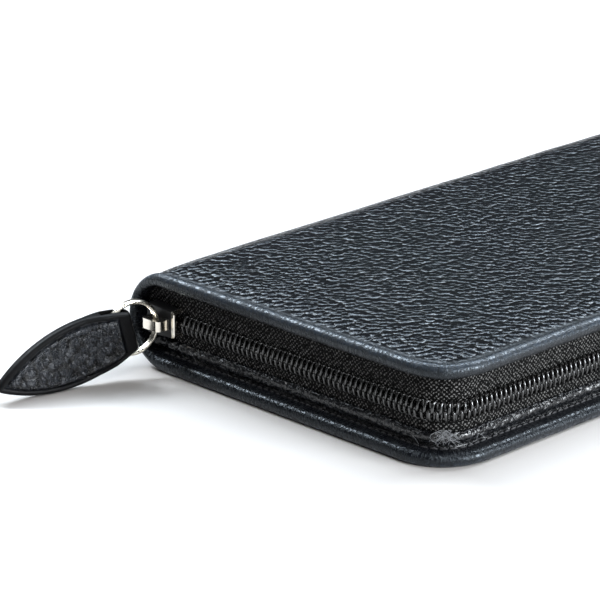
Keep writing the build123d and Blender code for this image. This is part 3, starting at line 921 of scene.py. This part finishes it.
arc_x, arc_y, arc_radius = circle_through((leaf_start, -leaf_root), (leaf_start + leaf_belly_at, -leaf_belly),
                                          (leaf_start + leaf_length, 0.0))
drop_to_touch = math.asin((middle - leaf_floor - arc_radius) / math.hypot(arc_x, arc_y))
leaf_droop = drop_to_touch + math.atan2(arc_y, arc_x)
leaf_way = outwards * math.cos(leaf_droop) - Vector((0, 0, 1)) * math.sin(leaf_droop)
leaf_up = outwards * math.sin(leaf_droop) + Vector((0, 0, 1)) * math.cos(leaf_droop)
leaf_frame = Matrix((leaf_way, leaf_up, ring_axis)).transposed()


def leaf_half_width(x):
    return max(math.sqrt(max(arc_radius ** 2 - (x - arc_x) ** 2, 0)) - arc_y, 0.0)


def from_rim(x, y):
    """How far inside the leaf's two curved sides a place is."""
    return arc_radius - math.hypot(x - arc_x, abs(y) + arc_y)


bpy.ops.object.select_all(action="DESELECT")
bpy.ops.mesh.primitive_uv_sphere_add(segments=112, ring_count=120, radius=1.0, location=(0, 0, 0))
leaf = bpy.context.object
leaf.name = "leather_leaf"
leaf_map = []
leaf_marks = []
tip = leaf_start + leaf_length - 0.55 * mm
random.seed(7)
lumps = ripples(12, 300, 1500)
wrinkles = [((8.0 + 3.0 * k + random.uniform(-1, 1)) * mm, random.uniform(-0.4, 0.4),
             random.uniform(0.08, 0.24)) for k in range(8)]
for vertex in leaf.data.vertices:
    nx, ny, nz = vertex.co
    share = 0.5 - math.asin(max(-1.0, min(1.0, nz))) / math.pi
    eased = 0.5 - 0.5 * math.cos(math.pi * share)
    x = leaf_start + (tip - leaf_start) * (0.55 * share + 0.45 * eased)
    around = math.atan2(ny, nx)
    flat = math.hypot(nx, ny)
    half_width = leaf_half_width(x)
    y = math.cos(around) * half_width * (1 if flat > 1e-6 else 0)
    rim = from_rim(x, y)
    loop = 2.2 * mm - 1.0 * mm * min(max((x - 6.6 * mm) / (4.2 * mm), 0), 1)
    end_round = min(max((x - leaf_start) / (0.9 * mm), 0), 1)
    edge_round = min(max(rim / (0.75 * mm), 0), 1)
    body = loop * math.sqrt(1 - (1 - end_round) ** 2) * (0.35 + 0.65 * math.sqrt(1 - (1 - edge_round) ** 2))
    panel_in = min(rim - leaf_rim, x - middle_start)
    raised = min(max(panel_in / (0.9 * mm), 0), 1)
    raised = raised * raised * (3 - 2 * raised)
    groove = math.exp(-((panel_in - 0.05 * mm) / (0.32 * mm)) ** 2)
    pressed = math.exp(-(min(rim - press_inset, x - press_start) / (0.36 * mm)) ** 2)
    wrinkle = sum(deep * math.exp(-((x - at - lean * y) / (0.42 * mm)) ** 2) for at, lean, deep in wrinkles)
    lump = rippled(lumps, x, y) / len(lumps)
    z = body + (0.40 * raised - 0.20 * groove) * mm * end_round + 0.24 * mm * lump * raised
    z -= (0.20 * pressed + wrinkle) * mm * raised
    sign = math.sin(around)
    thick = z * math.copysign(min(abs(sign) / 0.10, 1), sign) if flat > 1e-6 else 0.0
    vertex.co = (leaf_frame @ Vector((x, y, thick))) + ring_centre
    leaf_map.append((x, y + (0.05 if sign > 0 else 0)))
    leaf_marks.append((panel_in, rim, x))
set_uv(leaf, "UVMap", leaf_map)
set_vector(leaf, "panel", [(min(max((p + 0.2 * mm) / (0.6 * mm), 0), 1), r, x) for p, r, x in leaf_marks])
face_outwards(leaf)

hole_low, hole_high = leaf_start + 1.1 * mm, ring_outer + 0.3 * mm
bpy.ops.object.select_all(action="DESELECT")
bpy.ops.mesh.primitive_cube_add(size=1.0, location=(0, 0, 0))
fold_hole = bpy.context.object
fold_hole.name = "fold_hole"
for vertex in fold_hole.data.vertices:
    x, y, z = vertex.co
    vertex.co = (leaf_frame @ Vector((hole_low + (hole_high - hole_low) * (x + 0.5), y * 20 * mm,
                                      z * 2 * (wire_depth / 2 + 0.22 * mm)))) + ring_centre
bpy.ops.object.mode_set(mode="EDIT")
bpy.ops.mesh.select_all(action="SELECT")
bpy.ops.mesh.bevel(offset=0.35 * mm, segments=3)
bpy.ops.mesh.normals_make_consistent(inside=False)
bpy.ops.object.mode_set(mode="OBJECT")
bpy.ops.object.select_all(action="DESELECT")
leaf.select_set(True)
bpy.context.view_layer.objects.active = leaf
opening = leaf.modifiers.new("fold", "BOOLEAN")
opening.object = fold_hole
opening.operation = "DIFFERENCE"
opening.solver = "EXACT"
bpy.ops.object.modifier_apply(modifier="fold")
bpy.data.objects.remove(fold_hole)


def leaf_leather(name):
    """Pebbled middle with a painted bluish highlight on its raised spots, and a smooth, painted rim."""
    m = Nodes(name, (0.003, 0.003, 0.0035), 0.35)
    cell = 1.75 * mm
    flat = m.place("map", (1 / cell, 1 / cell, 1))
    pushed = m.shift(flat, m.noise(flat, 0.8, 3.0, 0.6, True), 1.1)
    centre = m.cells(pushed, 1.0, "F1", 1.0, "2D")
    pebble = m.maths("MULTIPLY_ADD", m.maths("MULTIPLY", centre, centre), -1.5, 1.0)
    fine = m.noise(flat, 3.2, 4.0, 0.7)
    folds = m.noise(m.shift(m.place("map", (1 / (2.6 * mm), 1 / (9.0 * mm), 1)), fine, 0.25), 1.0, 3.0, 0.6)
    folds = m.maths("ABSOLUTE", m.maths("SUBTRACT", folds, 0.5))
    folds = m.spread(folds, 0.0, 0.09)
    parts = m.add("ShaderNodeSeparateXYZ")
    m.put(parts.inputs[0], m.place("stored", (1, 1, 1), "panel"))
    middle_part = parts.outputs["X"]
    grain = m.maths("MULTIPLY_ADD", fine, 0.50, pebble)
    grain = m.maths("MULTIPLY_ADD", folds, 1.0, grain)
    height = m.mix(middle_part, m.maths("MULTIPLY", m.noise(flat, 1.6, 3.0, 0.6), 0.18), grain)
    raised_spots = m.maths("MULTIPLY_ADD", fine, 0.6, m.maths("MULTIPLY", pebble, 0.5))
    # Painted highlight: the raised spots of the middle get a lighter bluish colour, as if catching the lamps.
    painted_gleam = m.maths("MULTIPLY", middle_part, m.spread(raised_spots, 0.4, 0.85))
    bumps = m.relief(height, 0.46 * mm)
    m.put(m.surface.inputs["Coat Weight"], middle_part)
    m.put(m.surface.inputs["Coat Normal"], bumps)
    painted = m.spread(fine, 0.3, 0.7, 0.40, 0.52)
    bare = m.spread(fine, 0.35, 0.7, 0.20, 0.34)
    return m.finish(m.mix(painted_gleam, (0.0020, 0.0020, 0.0024), (0.020, 0.023, 0.029)),
                    m.mix(middle_part, painted, bare), bumps, Specular_IOR_Level=0.12, Coat_Roughness=0.17)


leaf.data.materials.append(leaf_leather("leaf_leather"))
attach(leaf, "pull")
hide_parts("pull_leather", "pull_core")

# ---------------------------------------------------------------- lining of the spine
# The inner lining runs round inside the spine and is caught under both stacks of pockets.
liner_low, liner_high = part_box("spine_lining")
liner_steps, liner_turns = 60, 36
bpy.ops.object.select_all(action="DESELECT")
bpy.ops.mesh.primitive_grid_add(x_subdivisions=liner_steps, y_subdivisions=liner_turns, size=1,
                                location=(0, 0, 0))
liner = bpy.context.object
liner.name = "spine_liner"
liner_depth = spine_radius - (liner_high[1] - spine_line) + 0.05 * mm
liner_map = []
for n, vertex in enumerate(liner.data.vertices):
    j, i = divmod(n, liner_steps + 1)
    a = half_length + liner_low[0] + (liner_high[0] - liner_low[0]) * i / liner_steps
    b = flat_run + math.pi * spine_radius * j / liner_turns
    vertex.co = folded(a, b, liner_depth + 0.10 * mm * unevenness(2 * a, 2 * b))
    liner_map.append((a, b))
set_uv(liner, "UVMap", liner_map)
backing = liner.modifiers.new("thickness", "SOLIDIFY")
backing.thickness = 0.35 * mm
backing.offset = 0
bpy.ops.object.modifier_apply(modifier="thickness")
face_outwards(liner)


def lining_cloth(name, base, bright, thread=0.42 * mm, source="object", turn=0.0):
    """Fine plain-woven lining: crossing threads of uneven thickness, faint slubs, and a painted sheen on the
    thread crossings.
    """
    m = Nodes(name, base, 0.6)
    where = m.place(source, (1 / thread, 1 / thread, 1 / thread), turn=turn)
    slubs = m.noise(m.place(source, (160, 2600, 160), turn=turn), 1.0, 3.0, 0.6)
    bent = m.shift(where, m.noise(where, 0.3, 2.0, 0.5, True), 0.5)
    cross = m.maths("MULTIPLY", m.wave(bent, 0.22), m.wave(bent, 0.22, direction="Y"))
    height = m.maths("MULTIPLY_ADD", slubs, 0.5, cross)
    # Painted sheen: lighter colour on the raised thread crossings, varied by the slubs.
    painted_gleam = m.maths("MULTIPLY", m.spread(cross, 0.1, 0.7), m.spread(slubs, 0.25, 0.75, 0.35, 1.0))
    return m.finish(m.mix(painted_gleam, base, bright), m.spread(slubs, 0.3, 0.7, 0.50, 0.75),
                    m.relief(height, 0.10 * mm), Specular_IOR_Level=0.3, Sheen_Weight=0.12)


liner_cloth = lining_cloth("spine_liner_cloth", (0.012, 0.012, 0.014), (0.050, 0.050, 0.056), source="map")
liner.data.materials.append(liner_cloth)
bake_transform(liner)
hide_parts("spine_lining")

# ---------------------------------------------------------------- boards, cords and foam inside the covers
# Grey board stiffens each cover. A twisted paper cord fills each rolled edge, and a thin sheet of foam,
# glued under the lining, pads it. All are shut in between leather and lining.
def fibre_board(name, base):
    m = Nodes(name, base, 0.85)
    where = m.place("object", (1000, 1000, 1000))
    pulp = m.noise(where, 0.6, 5.0, 0.7)
    hairs = m.noise(m.place("object", (300, 1900, 1100)), 1.0, 3.0)
    flecks = m.spread(m.noise(where, 2.5, 2.0), 0.62, 0.72)
    tone = m.mix(m.spread(pulp, 0.35, 0.65), base, tuple(0.72 * c for c in base))
    return m.finish(m.mix(flecks, tone, (0.16, 0.13, 0.10)), m.spread(hairs, 0.3, 0.7, 0.75, 0.95),
                    m.relief(hairs, 0.06 * mm))


def open_foam(name, base):
    m = Nodes(name, base, 0.9)
    where = m.place("object", (1000, 1000, 1000))
    cells = m.cells(where, 2.6)
    pores = m.spread(cells, 0.0, 0.4)
    return m.finish(m.mix(pores, tuple(0.4 * c for c in base), base), m.spread(pores, 0, 1, 0.95, 0.8),
                    m.relief(pores, 0.15 * mm))


def twisted_cord(name, base):
    m = Nodes(name, base, 0.8)
    where = m.place("object", (1000, 1000, 1000), turn=math.radians(45))
    strands = m.wave(m.shift(where, m.noise(where, 0.5, 2.0, 0.5, True), 0.3), 0.35)
    fuzz = m.noise(where, 4.0, 3.0)
    height = m.maths("MULTIPLY_ADD", fuzz, 0.3, strands)
    return m.finish(m.mix(strands, tuple(0.5 * c for c in base), base), m.spread(fuzz, 0.3, 0.7, 0.7, 0.95),
                    m.relief(height, 0.20 * mm))


grey_board = fibre_board("grey_board", (0.40, 0.355, 0.30))
grey_foam = open_foam("grey_foam", (0.20, 0.20, 0.21))
paper_cord = twisted_cord("paper_cord", (0.42, 0.39, 0.33))
for half in ("lower", "upper"):
    repaint("cover_board_" + half, grey_board, 0.08 * mm)
    repaint("foam_pad_" + half, grey_foam, 0.15 * mm)
    repaint("edge_cord_" + half, paper_cord)
repaint("pull_core", grey_foam)

# ---------------------------------------------------------------- linings, note pockets and card pockets
# Each half is lined with black woven cloth. On it lie a note pocket's panel and four steps of card
# pockets, cut from thin smooth leather, with a line creased by a hot tool along each mouth.
inner_cloth = lining_cloth("inner_cloth", (0.012, 0.012, 0.014), (0.050, 0.050, 0.056))
pocket_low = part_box("card_pocket_1_lower")[0]
pocket_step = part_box("card_pocket_2_lower")[0][1] - pocket_low[1]


def pocket_leather(name, base, worn):
    """Thin calf with a fine print and a creased line along every mouth."""
    m = Nodes(name, base, 0.4)
    where = m.place("object", (1000, 1000, 1000))
    bent = m.shift(where, m.noise(where, 0.6, 2.0, 0.5, True), 0.7)
    grain = m.spread(m.cells(bent, 1.5), 0.0, 0.30)
    hair = m.noise(where, 5.0, 3.0, 0.6)
    scuffs = m.noise(m.place("object", (45, 160, 90)), 1.0, 4.0, 0.6)
    parts = m.add("ShaderNodeSeparateXYZ")
    m.put(parts.inputs[0], m.place("object", (1, 1, 1)))
    behind = m.maths("SUBTRACT", parts.outputs["Y"], pocket_low[1] + 0.95 * mm)
    within = m.maths("PINGPONG", behind, pocket_step / 2)
    line = m.spread(within, 0.0, 0.32 * mm, 1.0, 0.0)
    height = m.maths("MULTIPLY_ADD", hair, 0.25, grain)
    height = m.maths("MULTIPLY_ADD", line, -2.2, height)
    share = m.spread(m.maths("MULTIPLY_ADD", grain, 0.4, scuffs), 0.35, 1.0)
    shine = m.spread(m.maths("MULTIPLY_ADD", line, -0.6, scuffs), 0.2, 0.8, 0.32, 0.50)
    return m.finish(m.mix(share, base, worn), shine, m.relief(height, 0.09 * mm), Specular_IOR_Level=0.5)


calf = pocket_leather("pocket_calf", (0.010, 0.010, 0.011), (0.034, 0.034, 0.037))


seam_inset = 1.6 * mm        # of every seam from its piece's edge


def put_stitches(name, body, line_start, line_end, spot, along_y=False):
    """A row of stitches along X or Y; spot is its place the other way, the face's height and its side."""
    across_place, face, side = spot
    row = stitch_row(name, line_start, line_end, 2.5 * mm, 2.0 * mm, 0.17 * mm)
    for vertex in row.data.vertices:
        x, y, z = vertex.co
        height = face + side * (z + 0.05 * mm)
        vertex.co = (across_place + y, x, height) if along_y else (x, across_place + y, height)
    face_outwards(row)
    row.data.materials.append(black_thread)
    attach(row, body)
    return row


for half, body in (("lower", "lower_half"), ("upper", "upper_half")):
    side = 1 if half == "lower" else -1
    repaint("cover_lining_" + half, inner_cloth)
    repaint("bill_panel_" + half, inner_cloth, 0.08 * mm)
    low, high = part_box("bill_panel_" + half)
    face = high[2] if side > 0 else low[2]
    put_stitches("panel_seam_" + half, body, low[0] + 9 * mm, high[0] - 9 * mm,
                 (low[1] + seam_inset, face, side))
    for k in range(1, 5):
        name = f"card_pocket_{k}_{half}"
        repaint(name, calf, 0.12 * mm)
        low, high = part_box(name)
        face = high[2] if side > 0 else low[2]
        behind = (low[1] + pocket_step if k < 4 else high[1]) - 0.6 * mm
        put_stitches(f"pocket_seam_{k}_{half}", body, low[1] + seam_inset, behind, (0, face, side),
                     along_y=True)
        for end, x in (("left", low[0] + seam_inset), ("right", high[0] - seam_inset)):
            start = low[1] + (4.5 * mm if k == 1 else seam_inset)
            put_stitches(f"pocket_edge_{end}_{k}_{half}", body, start, behind, (x, face, side), along_y=True)

# ---------------------------------------------------------------- coin pocket
# A flat bag of lining cloth with its own small zip along the mouth, sewn to the spine by a tongue. It
# stands between the two halves like a page.
coin_low, coin_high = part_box("coin_panel_upper")
page_cloth = lining_cloth("page_cloth", (0.010, 0.010, 0.012), (0.042, 0.042, 0.048), 0.40 * mm)
for node in ("coin_panel_lower", "coin_panel_upper", "coin_pocket_ends", "coin_tongue"):
    repaint(node, page_cloth, 0.10 * mm if node != "coin_tongue" else 0.0)
small_tape = lining_cloth("coin_tape_cloth", (0.004, 0.004, 0.004), (0.06, 0.058, 0.055), 0.42 * mm,
                          turn=(math.radians(90), 0, math.radians(45)))
for node in ("coin_tape_lower", "coin_tape_upper"):
    repaint(node, small_tape)
for half, side in (("lower", -1), ("upper", 1)):
    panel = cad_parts["coin_panel_" + half]
    for name, inset in (("mouth", 1.4 * mm), ("second", 3.2 * mm)):
        y = coin_low[1] + inset
        face = panel.ray_cast(Vector((0, y, middle + side * 20 * mm)), Vector((0, 0, -side)))[1][2]
        put_stitches(f"coin_seam_{name}_{half}", "coin_page", coin_low[0] + 4 * mm, coin_high[0] - 4 * mm,
                     (y, face, side))


coin_coil_low, coin_coil_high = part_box("coin_coil_lower")


def lay_along_mouth(obj):
    """Carries a straight build, with X along the run and Y outwards, to the coin pocket's mouth."""
    for vertex in obj.data.vertices:
        x, y, z = vertex.co
        vertex.co = (x, coin_coil_high[1] - y, z)


for half, sign in (("lower", -1), ("upper", 1)):
    row = coil_row("coin_coil_row_" + half, sign, 0.0 if half == "lower" else coil_pitch / 2,
                   coin_coil_low[0] + 0.4 * mm, coin_coil_high[0] - 0.9 * mm, lay_along_mouth)
    row.data.materials.append(black_nylon)
    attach(row, "coin_page")
    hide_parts("coin_coil_" + half)
repaint("coin_zip_stops", black_nylon, 0.15 * mm)

# ---------------------------------------------------------------- loose fibres
# At the near corner the tape's cut warp threads come out of the seam as a small tuft, with a few stray
# hairs of thread beside it and by the slider.
def fibre(points, radius, sides=5, steps=10):
    """One tapering hair along a bent line through four points."""
    bpy.ops.object.select_all(action="DESELECT")
    bpy.ops.mesh.primitive_grid_add(x_subdivisions=sides, y_subdivisions=steps, size=1, location=(0, 0, 0))
    hair = bpy.context.object
    a, b, c, d = [Vector(p) for p in points]

    def on_line(t):
        return (1 - t) ** 3 * a + 3 * t * (1 - t) ** 2 * b + 3 * t * t * (1 - t) * c + t ** 3 * d

    for n, vertex in enumerate(hair.data.vertices):
        j, i = divmod(n, sides + 1)
        t = j / steps
        way = (on_line(min(t + 0.02, 1)) - on_line(max(t - 0.02, 0))).normalized()
        side = way.cross(Vector((0.2, 0.5, 1)).normalized()).normalized()
        up = side.cross(way)
        angle = math.tau * (i % sides) / sides
        vertex.co = on_line(t) + (side * math.cos(angle) + up * math.sin(angle)) * radius * (1 - 0.6 * t)
    bpy.ops.object.mode_set(mode="EDIT")
    bpy.ops.mesh.select_all(action="SELECT")
    bpy.ops.mesh.remove_doubles(threshold=0.002 * mm)
    bpy.ops.mesh.normals_make_consistent(inside=False)
    bpy.ops.object.mode_set(mode="OBJECT")
    return hair


def on_side(s, out, height):
    x, y = round_the_sides(s, out)
    return Vector((x, y, height))


random.seed(23)
corner_s = side_run + 0.52 * quarter
hairs = []
for k in range(30):
    root = on_side(corner_s + random.gauss(0, 0.45) * mm, 0.9 * mm, 7.5 * mm + random.uniform(-0.3, 0.3) * mm)
    lean = on_side(corner_s + random.gauss(0, 1.2) * mm, (1.9 + random.uniform(0, 1.3)) * mm,
                   (6.9 + random.uniform(-0.7, 0.7)) * mm)
    end = on_side(corner_s + random.gauss(0, 1.5) * mm, (2.3 + random.uniform(-0.4, 1.0)) * mm,
                  (5.5 + random.uniform(-1.0, 1.2)) * mm)
    hairs.append(fibre((root, root.lerp(lean, 0.6), lean, end), 0.06 * mm))
stray = [(corner_s + 5.5 * mm, 3.2), (corner_s + 8.0 * mm, -2.4), (corner_s - 9 * mm, 4.5), (14 * mm, 4.0)]
for s, reach_along in stray:
    root = on_side(s, 1.3 * mm, 6.0 * mm)
    end = on_side(s + reach_along * mm, 2.2 * mm, 4.1 * mm)
    rise, fall = Vector((0, 0, 0.9 * mm)), Vector((0, 0, 1.1 * mm))
    hairs.append(fibre((root, root + rise, end + fall, end), 0.045 * mm))
bpy.ops.object.select_all(action="DESELECT")
for hair in hairs:
    hair.select_set(True)
bpy.context.view_layer.objects.active = hairs[0]
bpy.ops.object.join()
tuft = hairs[0]
tuft.name = "loose_fibres"
tuft.data.materials.append(sewing_thread("fibre_thread", (0.13, 0.134, 0.14)))
bpy.ops.object.shade_smooth()
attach(tuft, "lower_half")
